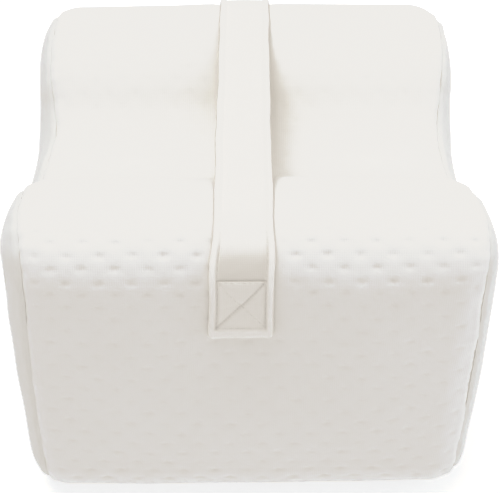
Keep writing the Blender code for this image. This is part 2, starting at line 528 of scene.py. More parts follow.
@dataclass(frozen=True)
class PillowForm:
    """The filled shape as one surface with its unevenness.

    Attributes:
        outline: Its outline from the side.
        edge: Its rounded side edges.
        lumps: Swellings and dents of the filling.
    """

    outline: Outline
    edge: SideEdge
    lumps: tuple[Lump, ...] = ()

    def surface(self, x: Array, inset: Array, turn: Array, along: Array,
                lift: Array | float) -> Array:
        """Points of the surface, raised along their outward directions.

        Args:
            x: Places along X.
            inset: Inset of the outline at each.
            turn: Turn of the side rounding there.
            along: Distances along the outline.
            lift: Height above the plain form.

        Returns:
            Points in the broadcast shape, with a last axis of three.
        """
        y, z, out_y, out_z = self.outline.at(along)
        base = stacked(x + self.edge.aside(x, along), y - inset * out_y,
                       self.outline.centre + z - inset * out_z)
        out = stacked(np.sin(turn), np.cos(turn) * out_y, np.cos(turn) * out_z)
        height = lift + sum(lump.at(base) for lump in self.lumps)
        points = base + out * np.asarray(height)[..., None]
        points[..., 2] = np.maximum(points[..., 2], 0.0)
        return points


# The dimpled band


@dataclass(frozen=True)
class DimpleLattice:
    """Staggered rows of small sewn-in dimples over the band.

    Attributes:
        first_column: Place across the cloth of the column that even rows skip.
        half_pitch: Half the distance between the dimples of one row.
        rows: Distances of the measured rows below the front lobe's top.
        row_pitch: Row distance over the rest of the cloth.
        width: Fading distance of a dimple across the cloth.
        length: Fading distance along the cloth.
        depth: Depth where the cloth bends over the front lobe.
        puff: Rise of the cloth between the dimples.
        puff_reach: Its fading distances across and along the cloth.
        spread: Widening of the columns down the front face, for each metre.
        spread_span: Where below the lobe's top it starts, and how long it goes on.
        stray: How far a dimple strays from its place, across and along the cloth.
        uneven: Share by which the depth of a dimple varies.
        plain: Share of the depth where nothing else is said.
        zones: What other zones add to it, and where they fade in and out below a lobe's top.
    """

    first_column: float = -0.0947
    half_pitch: float = 0.0078
    rows: tuple[float, ...] = (
        0.0147, 0.0204, 0.0269, 0.0333, 0.0406, 0.0468, 0.0545, 0.0625, 0.0706,
        0.0782, 0.0866, 0.0944, 0.1031, 0.1101, 0.1187, 0.1271, 0.1352)
    row_pitch: float = 0.0080
    width: float = 0.0021
    length: float = 0.0014
    depth: float = 0.00058
    puff: float = 0.00022
    puff_reach: tuple[float, float] = (0.0042, 0.0030)
    spread: float = 0.9
    spread_span: tuple[float, float] = (0.03, 0.10)
    stray: tuple[float, float] = (0.0004, 0.0003)
    uneven: float = 0.35
    plain: float = 0.42
    zones: tuple[tuple[float, ...], ...] = (
        (-0.18, 0.095, 0.155, 1.0, 1.1),
        (0.55, 0.008, 0.022, 0.040, 0.060),
        (0.20, 0.020, 0.030, 0.105, 0.150),
    )

    def numbers(self, below: Array) -> Array:
        """Row numbers, with fractions, at distances below the front lobe's top."""
        known = np.array(self.rows)
        inside = np.interp(below, known, np.arange(len(known)))
        before = np.minimum(below - known[0], 0) / self.row_pitch
        after = np.maximum(below - known[-1], 0) / self.row_pitch
        return inside + before + after

    def strength(self, below: Array) -> Array:
        """Share of the depth at distances below the top of a lobe, towards its end face."""
        share = self.plain
        for more, first, full, last, gone in self.zones:
            share = share + more * (ease(below, first, full) * (1 - ease(below, last, gone)))
        return share

    def at(self, across: Array, below: Array) -> tuple[Array, Array]:
        """Relief of the lattice at places on the band.

        Args:
            across: Distances over the surface from the middle.
            below: Distances below the front lobe's top.

        Returns:
            Heights at full strength, and how far each place lies in a dimple.
        """
        spread_start, spread_length = self.spread_span
        widen = 1 + self.spread * np.clip(below - spread_start, 0, spread_length)
        column = (across / widen - self.first_column) / self.half_pitch
        number = self.numbers(below)
        slope = np.gradient(number.ravel(), below.ravel()).reshape(number.shape)
        height = np.zeros(np.broadcast(across, below).shape)
        core = np.zeros_like(height)
        for step in (0, 1):
            row = np.floor(number) + step
            odd = np.mod(row + 1, 2)
            near = 2 * np.round((column - odd) / 2) + odd
            aside = (column - near) * self.half_pitch + self.stray[0] * chance(near, row, 1.0)
            apart = (number - row) / slope + self.stray[1] * chance(near, row, 2.0)
            deep = 1 + self.uneven * chance(near, row, 3.0)
            pit = deep * bell(aside, self.width) * bell(apart, self.length)
            core = np.maximum(core, pit)
            across_reach, along_reach = self.puff_reach
            puff = self.puff * bell(aside, across_reach) * bell(apart, along_reach)
            height -= self.depth * pit + puff
        return height + self.puff, np.clip(core, 0, 1)


@dataclass(frozen=True)
class SeamRelief:
    """How the sewing pulls the cloth near a seam.

    Attributes:
        dip: Depth at the stitching.
        dip_reach: Its fading distance.
        ridge: Height of the soft roll beside it.
        ridge_place: Distance of the roll from the seam.
        ridge_reach: Its fading distance.
        pucker: Height of the small puckers.
        pucker_span: Their shortest and longest wavelength.
        pucker_count: How many waves they are made of.
        pucker_place: Distance of their middle from the seam.
        pucker_reach: Their fading distance.
    """

    dip: float
    dip_reach: float = 0.0016
    ridge: float = 0.00035
    ridge_place: float = 0.0034
    ridge_reach: float = 0.0020
    pucker: float = 0.00022
    pucker_span: tuple[float, float] = (0.006, 0.022)
    pucker_count: int = 10
    pucker_place: float = 0.002
    pucker_reach: float = 0.0055

    def at(self, away: Array, along: Array, seed: int) -> Array:
        """Relief at a distance from the seam.

        Args:
            away: Distance from the seam.
            along: Distance along it.
            seed: Picks the puckers.

        Returns:
            Heights in the broadcast shape.
        """
        waves = Ripples(self.pucker, *self.pucker_span, seed, self.pucker_count)
        puckers = waves.at(0.0, along)
        return (
            -self.dip * bell(away, self.dip_reach)
            + self.ridge * bell(away - self.ridge_place, self.ridge_reach)
            + puckers * bell(away - self.pucker_place, self.pucker_reach)
        )


# Finishes


def fill_inputs(tree: bpy.types.NodeTree, node: bpy.types.Node,
                inputs: dict[str | int, object]) -> None:
    """Set a node's inputs, or link those that are given a socket.

    Args:
        tree: The node's tree.
        node: The node.
        inputs: Values or sockets by the name or number of the input.
    """
    for name, value in inputs.items():
        if isinstance(value, bpy.types.NodeSocket):
            tree.links.new(value, node.inputs[name])
        else:
            node.inputs[name].default_value = value


def add_node(tree: bpy.types.NodeTree, kind: str, inputs: dict[str | int, object],
             output: str, **settings: str) -> bpy.types.NodeSocket:
    """Add a node.

    Args:
        tree: Node tree to add to.
        kind: Type name of the node.
        inputs: Values or sockets for its inputs.
        output: Name of the wanted output.
        settings: Settings of the node.

    Returns:
        The socket of the output.
    """
    node = tree.nodes.new(kind)
    for name, value in settings.items():
        setattr(node, name, value)
    fill_inputs(tree, node, inputs)
    return node.outputs[output]


@dataclass(frozen=True)
class KnitFinish:
    """A soft knit cloth.

    Attributes:
        name: Name of the material.
        colour: Main colour of the cloth, linear.
        shade: Darker colour that the tone drifts towards over patches and deeper tufts, and the
            painted shade in dimples and channels.
        wale: Width of one column of loops.
        course: Height of one row of loops.
        tuft: Size of the tufts.
        patch: Size of the patches in which the colour drifts.
        relief: Height of the loops for the bump.
        mottle: Share of the shade that drifts over the cloth.
        loop_light: Share of the shade that a loop takes away.
        hollow_shade: Share of the shade colour painted in as shade where a dimple or channel lies.
        roughness: Roughness of the cloth.
        specular: Weight of its mirror-like light.
        sheen: Weight of its fuzz.
        sheen_roughness: Roughness of its fuzz.
    """

    name: str
    colour: Colour
    shade: Colour
    wale: float = 0.0011
    course: float = 0.0008
    tuft: float = 0.0035
    patch: float = 0.045
    relief: float = 0.00006
    mottle: float = 0.30
    loop_light: float = -0.10
    hollow_shade: float = 0.5
    roughness: float = 0.88
    specular: float = 0.2
    sheen: float = 0.12
    sheen_roughness: float = 0.5

    def material(self) -> bpy.types.Material:
        """Make the node material.

        Returns:
            A material that reads the cloth map and the painted shade of a mesh's dimples and
            channels.
        """
        material = bpy.data.materials.new(self.name)
        material.use_nodes = True
        tree = material.node_tree
        place = add_node(tree, "ShaderNodeUVMap", {}, "UV", uv_map=CLOTH_MAP)
        loops = self._loops(tree, place)
        tufts, drift = (
            add_node(tree, "ShaderNodeTexNoise",
                     {"Scale": 1 / size, "Detail": detail, "Vector": place}, "Fac")
            for size, detail in ((self.tuft, 3.0), (self.patch, 2.0)))
        # Painted shade: the attribute darkens dimples and channels towards the shade colour.
        hollow_shade = add_node(tree, "ShaderNodeAttribute", {}, "Fac", attribute_name=HOLLOW_SHADE)
        amount = self._sum(tree, [(drift, self.mottle), (tufts, self.mottle / 2),
                                  (loops, self.loop_light), (hollow_shade, self.hollow_shade)])
        colours = {"A": (*self.colour, 1.0), "B": (*self.shade, 1.0), "Factor": amount}
        mixed = add_node(tree, "ShaderNodeMix", colours, "Result", data_type="RGBA")
        height = self._sum(tree, [(loops, 1.0), (tufts, 0.8)])
        normal = add_node(tree, "ShaderNodeBump",
                          {"Strength": 0.6, "Distance": self.relief, "Height": height}, "Normal")
        fill_inputs(tree, tree.nodes["Principled BSDF"], {
            "Base Color": mixed, "Roughness": self.roughness, "Normal": normal,
            "Sheen Weight": self.sheen, "Sheen Roughness": self.sheen_roughness,
            "Specular IOR Level": self.specular})
        return material

    def _loops(self, tree: bpy.types.NodeTree,
               vector: bpy.types.NodeSocket) -> bpy.types.NodeSocket:
        """Add the rows and columns of knit loops.

        Args:
            tree: Node tree to add to.
            vector: Cloth coordinates in metres.

        Returns:
            The height of the loops, about 0 to 1.
        """
        waves = []
        for direction, pitch in (("X", self.wale), ("Y", self.course)):
            inputs = {"Scale": math.pi / 10 / pitch, "Distortion": 0.8, "Detail": 1.0,
                      "Detail Scale": 1.5, "Vector": vector}
            wave = add_node(tree, "ShaderNodeTexWave", inputs, "Fac", wave_type="BANDS",
                            bands_direction=direction, wave_profile="SIN")
            waves.append((wave, 0.5))
        return self._sum(tree, waves)

    def _sum(self, tree: bpy.types.NodeTree,
             parts: list[tuple[bpy.types.NodeSocket, float]]) -> bpy.types.NodeSocket:
        """Add sockets with weights.

        Args:
            tree: Node tree to add to.
            parts: Sockets with the weight of each.

        Returns:
            The socket of the sum.
        """
        total = 0.0
        for socket, weight in parts:
            total = add_node(tree, "ShaderNodeMath", {1: weight, 0: socket, 2: total}, "Value",
                             operation="MULTIPLY_ADD")
        return total


# The pieces


@dataclass
class Cushion:
    """The filled body with its dimpled band, closed under the side panels.

    Attributes:
        form: The surface that it follows.
        lattice: Dimples of the band.
        seam: Pull of the side seams.
        finish: Cloth of the band.
        strap_half_width: Half of the width that the strap presses on.
        strap_end: Height of the strap's sewn ends.
        edge_fade: Where its press begins and ends to fade, from that half width outwards.
        end_fade: Where it begins and ends to fade in, from that height upwards.
        press: How deep it presses.
        dimple_start: Distances from a seam between which the dimples begin.
        column_pitch: Spacing of the mesh across the band.
        fine_pitch: Spacing along the front face and its lobe.
        coarse_pitch: Spacing along the rest.
        fine_span: First and last distance along the outline of the fine spacing.
        tight: Share of the width between a seam and the first row beside it.
        step_in: How far the cloth steps in under a side panel.
        tucked_loops: How many loops of the mesh lie there.
        seeds: Pick the puckers at its two seams.
        waves: Slight unevenness of the filling.
    """

    form: PillowForm
    lattice: DimpleLattice
    seam: SeamRelief
    finish: KnitFinish
    strap_half_width: float = 0.0158
    strap_end: float = 0.134
    edge_fade: tuple[float, float] = (-0.002, 0.003)
    end_fade: tuple[float, float] = (-0.003, 0.002)
    press: float = 0.0003
    dimple_start: tuple[float, float] = (0.003, 0.009)
    column_pitch: float = 0.00156
    fine_pitch: float = 0.00086
    coarse_pitch: float = 0.0021
    fine_span: tuple[float, float] = (-0.075, 0.116)
    tight: float = 0.0007
    step_in: float = 0.0028
    tucked_loops: int = 4
    seeds: tuple[int, int] = (11, 12)
    waves: Ripples = Ripples(0.00022, 0.035, 0.110, 5)

    def rows(self) -> Array:
        """Distances along the outline of the mesh's rows, once round."""
        first, last = self.fine_span
        whole = self.form.edge.whole
        fine = round((last - first) / self.fine_pitch)
        coarse = round((whole - last + first) / self.coarse_pitch)
        return np.concatenate([
            np.linspace(first, last, fine, endpoint=False),
            np.linspace(last, first + whole, coarse, endpoint=False),
        ])

    def columns(self, along: Array) -> Array:
        """Distances across the band of the mesh's columns, from seam to seam, for each row."""
        left, right = (self.form.edge.reach(side, along) for side in Side)
        count = round(float((left + right).max()) / self.column_pitch) + 1
        inner = np.linspace(0.0, 1.0, count)[1:-1]
        share = np.concatenate([[0.0, self.tight], inner, [1.0 - self.tight, 1.0]])[:, None]
        return share * (left + right) - left

    def lift(self, across: Array, along: Array) -> tuple[Array, Array]:
        """Relief of the band.

        Args:
            across: Distances across it, one row for each column of the mesh.
            along: Distances along the outline, as one row.

        Returns:
            Heights, and the painted shade of the dimples.
        """
        outline = self.form.outline
        below = outline.lobe_top - along
        height, hollow_shade = self.lattice.at(across, below)
        folded = outline.lobe_top - outline.face_distance(along)
        strength = self.lattice.strength(folded)
        height, hollow_shade = height * strength, hollow_shade * strength
        edge = self.form.edge
        left = across + edge.reach(Side.LEFT, along)
        right = edge.reach(Side.RIGHT, along) - across
        inside = ease(np.minimum(left, right), *self.dimple_start)
        height = height * inside + self.waves.at(across, along)
        for away, seed in zip((left, right), self.seeds):
            height = height + self.seam.at(away, along, seed)
        under = self.strap_mask(across) * self.strap_cover(along)
        # The dimples also darken their colour as painted shade, except under the strap.
        return height - under * (height + self.press), hollow_shade * inside * (1 - under)

    def strap_cover(self, along: Array) -> Array:
        """1 where the strap lies on the outline, fading to 0 below its sewn ends."""
        outline = self.form.outline
        height = outline.centre + outline.at(along)[1]
        return ease(height, *(self.strap_end + fade for fade in self.end_fade))

    def strap_mask(self, across: Array) -> Array:
        """1 under the strap, fading to 0 beside it."""
        return 1 - ease(np.abs(across), *(self.strap_half_width + fade for fade in self.edge_fade))

    def build(self) -> bpy.types.Object:
        """Make the mesh object.

        Returns:
            The cushion, one closed mesh.
        """
        along = self.rows()
        across = self.columns(along)
        height, hollow_shade = self.lift(across, along[None, :])
        band = self.form.surface(*self.form.edge.section(across), along[None, :], height)
        (left, left_spots), (right, right_spots) = (self._tucked(side, along) for side in Side)
        points = np.concatenate([left[::-1], band, right])
        spots = np.concatenate([left_spots[::-1], across, right_spots])
        # Painted shade of the dimples; none on the loops under the side panels.
        blank = np.zeros(left_spots.shape)
        shade = np.concatenate([blank, hollow_shade, blank])
        cloth = stacked(spots, along[None, :]).reshape(-1, 2)
        return mesh_object("cushion_cover", points.reshape(-1, 3), tube_faces(*shade.shape),
                           self.finish.material(), cloth, shade.ravel())

    def _tucked(self, side: Side, along: Array) -> tuple[Array, Array]:
        """Loops that step in at a seam and run on under the side panel.

        Args:
            side: Which side.
            along: Distances along the outline.

        Returns:
            Points of the loops from the seam outwards, and their places across the cloth.
        """
        edge = self.form.edge
        angles = np.linspace(edge.seam(side, along), math.pi / 2, self.tucked_loops)
        reach = edge.rounding - self.step_in
        x = side.value * (edge.start + reach * np.sin(angles))
        inset = edge.band_crown + edge.rounding - reach * np.cos(angles)
        turn = side.value * angles
        points = self.form.surface(x, inset, turn, along[None, :], 0.0)
        return points, side.value * (edge.start + edge.rounding * angles + 0.001)


@dataclass
class SidePanel:
    """One stretched side sheet, from its seam to the middle of the side.

    Attributes:
        form: The surface that it follows.
        side: Which side it closes.
        seam: Pull of its seam.
        finish: Cloth of the panel.
        thickness: Thickness of the quilted cloth.
        gap: Gap to the band at the seam.
        ring_pitch: Spacing of the rings over the rounding.
        tight: Share of the rounding between the seam and the first ring.
        row_pitch: Spacing along the outline.
        rungs: Faces from the top row to the bottom row of the flat part.
        calm: Distances from the seam between which the unevenness begins.
        seed: Picks the puckers at its seam.
        waves: Slight unevenness of the sheet.
    """

    form: PillowForm
    side: Side
    seam: SeamRelief
    finish: KnitFinish
    thickness: float = 0.0025
    gap: float = 0.00012
    ring_pitch: float = 0.0012
    tight: float = 0.008
    row_pitch: float = 0.0026
    rungs: int = 40
    calm: tuple[float, float] = (0.004, 0.020)
    seed: int = 31
    waves: Ripples = Ripples(0.00022, 0.030, 0.090, 21)

    def outline_rows(self) -> tuple[Array, int]:
        """Distances along the outline, the same above and below.

        Returns:
            The distances, starting at the front end of the upper row, and the upper row's count.
        """
        outline = self.form.outline
        quarter = outline.quarter_length
        face = outline.half_height - outline.face_rounding
        count = round(2 * (quarter - face) / self.row_pitch)
        top = np.linspace(face, 2 * quarter - face, count)
        back = np.linspace(2 * quarter - face, 2 * quarter + face, self.rungs + 1)[1:-1]
        bottom = top + 2 * quarter
        front = np.linspace(4 * quarter - face, 4 * quarter + face, self.rungs + 1)[1:-1]
        return np.concatenate([top, back, bottom, front]), count

    def skin(self, sunk: float) -> tuple[Array, Array, list[Array]]:
        """One face of the sheet.

        Args:
            sunk: How far it lies under the outer face.

        Returns:
            Points, cloth coordinates and faces.
        """
        edge = self.form.edge
        along, upper = self.outline_rows()
        first = edge.seam(self.side, along) + self.gap / edge.rounding
        steps = round(edge.rounding * (math.pi / 2 - float(first.min())) / self.ring_pitch)
        share = np.concatenate([[0.0, self.tight], np.linspace(0, 1, steps + 1)[1:]])[:, None]
        angles = first + share * (math.pi / 2 - first)
        away = edge.rounding * (angles - first)
        relief = self.seam.at(away, along[None, :], self.seed + self.side.value)
        places = (*edge.section(self.side.value * (edge.start + edge.rounding * angles)),
                  along[None, :])
        spots = self.form.surface(*places, 0.0)
        waves = ease(away, *self.calm) * self.waves.at(spots[..., 1], spots[..., 2])
        rings = self.form.surface(*places, relief + waves - sunk)
        rows, columns = rings.shape[:2]
        flat, faces = self._ladder(rings[-1], upper, (rows - 1) * columns, rows * columns)
        points = np.concatenate([rings.reshape(-1, 3), flat])
        return points, self._cloth(rings, flat), [grid_faces(rows, columns), faces]

    def _cloth(self, rings: Array, flat: Array) -> Array:
        """Cloth coordinates: y and z of the side, spread outwards over the rounding."""
        steps = np.linalg.norm(np.diff(rings, axis=0), axis=-1)
        left = np.concatenate([steps[::-1].cumsum(axis=0)[::-1], np.zeros((1, rings.shape[1]))])
        base = rings[-1][None, :, 1:]
        away = rings[0, :, 1:] - rings[-1, :, 1:]
        away /= np.maximum(np.linalg.norm(away, axis=-1, keepdims=True), 1e-6)
        spread = base + away[None] * left[..., None]
        return np.concatenate([spread.reshape(-1, 2), flat[:, 1:]])

    def _ladder(self, loop: Array, upper: int, start: int, free: int) -> tuple[Array, Array]:
        """Close the last ring with rungs from its upper row to its lower row.

        Args:
            loop: Points of the ring.
            upper: How many points its upper row has.
            start: Number of the ring's first vertex.
            free: First number for new vertices.

        Returns:
            The new points, and faces.
        """
        count = len(loop)
        rungs = self.rungs
        numbers = np.zeros((upper, rungs + 1), int)
        made = []
        for i in range(upper):
            low = 2 * upper + rungs - 2 - i
            if i == 0:
                inner = [count - rung for rung in range(1, rungs)]
            elif i == upper - 1:
                inner = [upper - 1 + rung for rung in range(1, rungs)]
            else:
                inner = [free - start + len(made) + rung for rung in range(rungs - 1)]
                made.extend(self._rung(loop[i], loop[low], loop[0, 1]))
            numbers[i] = [i, *inner, low]
        numbers += start
        quads = np.stack([numbers[:-1, :-1], numbers[1:, :-1],
                          numbers[1:, 1:], numbers[:-1, 1:]], axis=-1)
        return np.array(made), quads.reshape(-1, 4)

    def _rung(self, top: Array, bottom: Array, reach: float) -> Array:
        """Swelling points between two points of the ring, without its ends."""
        share = np.arange(1, self.rungs)[:, None] / self.rungs
        swell = self.form.edge.side_crown * (1 - (2 * share - 1) ** 2)
        middle = 1 - (top[1] / reach) ** 2
        points = top + (bottom - top) * share
        uneven = self.waves.at(points[:, 1:2], points[:, 2:3])
        points[:, :1] += self.side.value * (swell * middle + uneven)
        return points

    def build(self) -> bpy.types.Object:
        """Make the mesh object.

        Returns:
            The panel, a closed thin sheet.
        """
        outer, cloth, outer_faces = self.skin(0.0)
        inner, _, inner_faces = self.skin(self.thickness)
        count = len(self.outline_rows()[0])
        first = np.arange(count)
        after = (first + 1) % count
        rim = np.stack([first, first + len(outer), after + len(outer), after], axis=-1)
        faces = [*outer_faces, *[rows[:, ::-1] + len(outer) for rows in inner_faces], rim]
        if self.side is Side.LEFT:
            faces = [rows[:, ::-1] for rows in faces]
        name = f"side_panel_{self.side.name.lower()}_cloth"
        return mesh_object(name, np.concatenate([outer, inner]), faces, self.finish.material(),
                           np.concatenate([cloth, cloth]))


@dataclass(frozen=True)
class Swelling:
    """Movements of the cover over its filling, as found by the simulation.

    Attributes:
        places: Where the simulated points started.
        moves: How far each of them moved.
        blend: Distance over which neighbours are blended.
        still_half_width: Half of the width that the strap holds still.
        still_height: Height above which it does.
        still_fade: Distance beyond both over which the cloth is free again.
        nearest: How many simulated points give each movement.
    """

    places: Array
    moves: Array
    blend: float = 0.006
    still_half_width: float = 0.020
    still_height: float = 0.115
    still_fade: float = 0.045
    nearest: int = 8

    def apply(self, thing: bpy.types.Object) -> None:
        """Move the points of a piece with the filling, except under the strap."""
        points = vertex_rows(thing.data)
        tree = search_tree(self.places)
        found = [[near[1:] for near in tree.find_n(point, self.nearest)] for point in points]
        numbers, away = np.moveaxis(np.array(found), -1, 0)
        numbers = numbers.astype(int)
        weight = bell(away - away[:, :1], self.blend)
        weight /= weight.sum(axis=1, keepdims=True)
        moves = (self.moves[numbers] * weight[..., None]).sum(axis=1)
        beside = ease(np.abs(points[:, 0]), self.still_half_width,
                      self.still_half_width + self.still_fade)
        below = 1 - ease(points[:, 2], self.still_height - self.still_fade, self.still_height)
        points += moves * (1 - (1 - beside) * (1 - below))[:, None]
        points[:, 2] = np.maximum(points[:, 2], 0.0)
        place_vertices(thing.data, points)
        thing.data.update()


@dataclass(frozen=True)
class Filling:
    """Cloth simulation of the whole cover under the pressure of its filling.

    Attributes:
        voxel: Size of the even mesh that is simulated.
        smaller: How much smaller the cloth starts.
        pressure: Pressure of the filling.
        stiffness: Stiffness of the stretched knit.
        bending: Its stiffness against folds.
        frames: Length of the simulation.
        cap: How far a point may move.
        seam_reach: Fading distance of the hold of a seam.
        seam_pitch: Spacing of the points that stand for the seams.
        rest_span: Heights between which the hold of the resting surface fades.
        least_hold: Weakest hold that counts.
        group: Name of the vertex group with the hold.
        evening: How often the movements are evened out among neighbours.
    """

    voxel: float = 0.0055
    smaller: float = 0.0002
    pressure: float = 4.0
    stiffness: float = 30.0
    bending: float = 4.0
    frames: int = 20
    cap: float = 0.004
    seam_reach: float = 0.006
    seam_pitch: float = 0.004
    rest_span: tuple[float, float] = (0.002, 0.008)
    least_hold: float = 0.02
    group: str = "held"
    evening: int = 10

    def run(self, body: bpy.types.Object, form: PillowForm) -> Swelling:
        """Simulate a remeshed copy of the body.

        Args:
            body: The closed body; it stays as it is.
            form: The form that it follows, for its seams.

        Returns:
            How the cover moves over its filling.
        """
        cloth = self._remeshed(body)
        start, normals = (vertex_rows(cloth.data, name) for name in ("co", "normal"))
        shrink = self.smaller * normals * (1 - self._hold(cloth, form, start))[:, None]
        smaller = start - shrink
        place_vertices(cloth.data, smaller)
        self._dress(cloth)
        scene = bpy.context.scene
        for frame in range(1, self.frames + 1):
            scene.frame_set(frame)
        filled = evaluated_mesh(cloth)
        moves = vertex_rows(filled) - smaller
        length = np.linalg.norm(moves, axis=1, keepdims=True)
        moves *= np.minimum(1.0, self.cap / np.maximum(length, 1e-9))
        moves = self._evened(cloth.data, moves - shrink)
        LOG.info("filling: %d points, mean move %.2f mm, mean rise %.2f mm", len(start),
                 1000 * float(length.mean()), 1000 * float((moves * normals).sum(axis=1).mean()))
        scene.frame_set(1)
        bpy.data.meshes.remove(filled)
        discard(cloth)
        return Swelling(start, moves)

    def _remeshed(self, body: bpy.types.Object) -> bpy.types.Object:
        """An even voxel mesh of the body as a new object."""
        copy = body.copy()
        copy.data = body.data.copy()
        linked(copy)
        remesh = copy.modifiers.new("even", "REMESH")
        remesh.mode = "VOXEL"
        remesh.voxel_size = self.voxel
        mesh = evaluated_mesh(copy)
        discard(copy)
        return linked(bpy.data.objects.new("filling", mesh))

    def _hold(self, cloth: bpy.types.Object, form: PillowForm, points: Array) -> Array:
        """Hold the cloth at its seams and where it rests.

        Args:
            cloth: The simulated object.
            form: The form with the seams.
            points: Places of its vertices.

        Returns:
            How firmly each vertex is held, from 0 to 1.
        """
        along = np.arange(0.0, form.edge.whole, self.seam_pitch)
        seams = [form.edge.section(side.value * form.edge.reach(side, along)) for side in Side]
        tree = search_tree(np.concatenate([form.surface(*seam, along, 0.0) for seam in seams]))
        away = np.array([tree.find(point)[2] for point in points])
        hold = np.maximum(bell(away, self.seam_reach), 1 - ease(points[:, 2], *self.rest_span))
        group = cloth.vertex_groups.new(name=self.group)
        for number, weight in enumerate(hold):
            if weight > self.least_hold:
                group.add([number], float(weight), "REPLACE")
        return hold

    def _dress(self, cloth: bpy.types.Object) -> None:
        """Add the cloth and its pressure."""
        modifier = cloth.modifiers.new("cloth", "CLOTH")
        settings = modifier.settings
        settings.quality = 5
        settings.mass = 0.3
        settings.tension_stiffness = settings.compression_stiffness = self.stiffness
        settings.shear_stiffness = self.stiffness / 2
        settings.bending_stiffness = self.bending
        settings.use_pressure = True
        settings.uniform_pressure_force = self.pressure
        settings.effector_weights.gravity = 0.0
        settings.vertex_group_mass = self.group
        modifier.collision_settings.use_collision = False
        modifier.point_cache.frame_start = 1
        modifier.point_cache.frame_end = self.frames

    def _evened(self, mesh: bpy.types.Mesh, moves: Array) -> Array:
        """Even out movements among the neighbours of each vertex."""
        edges = np.zeros(len(mesh.edges) * 2, np.int32)
        mesh.edges.foreach_get("vertices", edges)
        first, last = edges.reshape(-1, 2).T
        count = np.bincount(edges, minlength=len(moves))[:, None]
        for _ in range(self.evening):
            total = np.zeros_like(moves)
            np.add.at(total, first, moves[last])
            np.add.at(total, last, moves[first])
            moves = (moves + total) / (1 + count)
        return moves


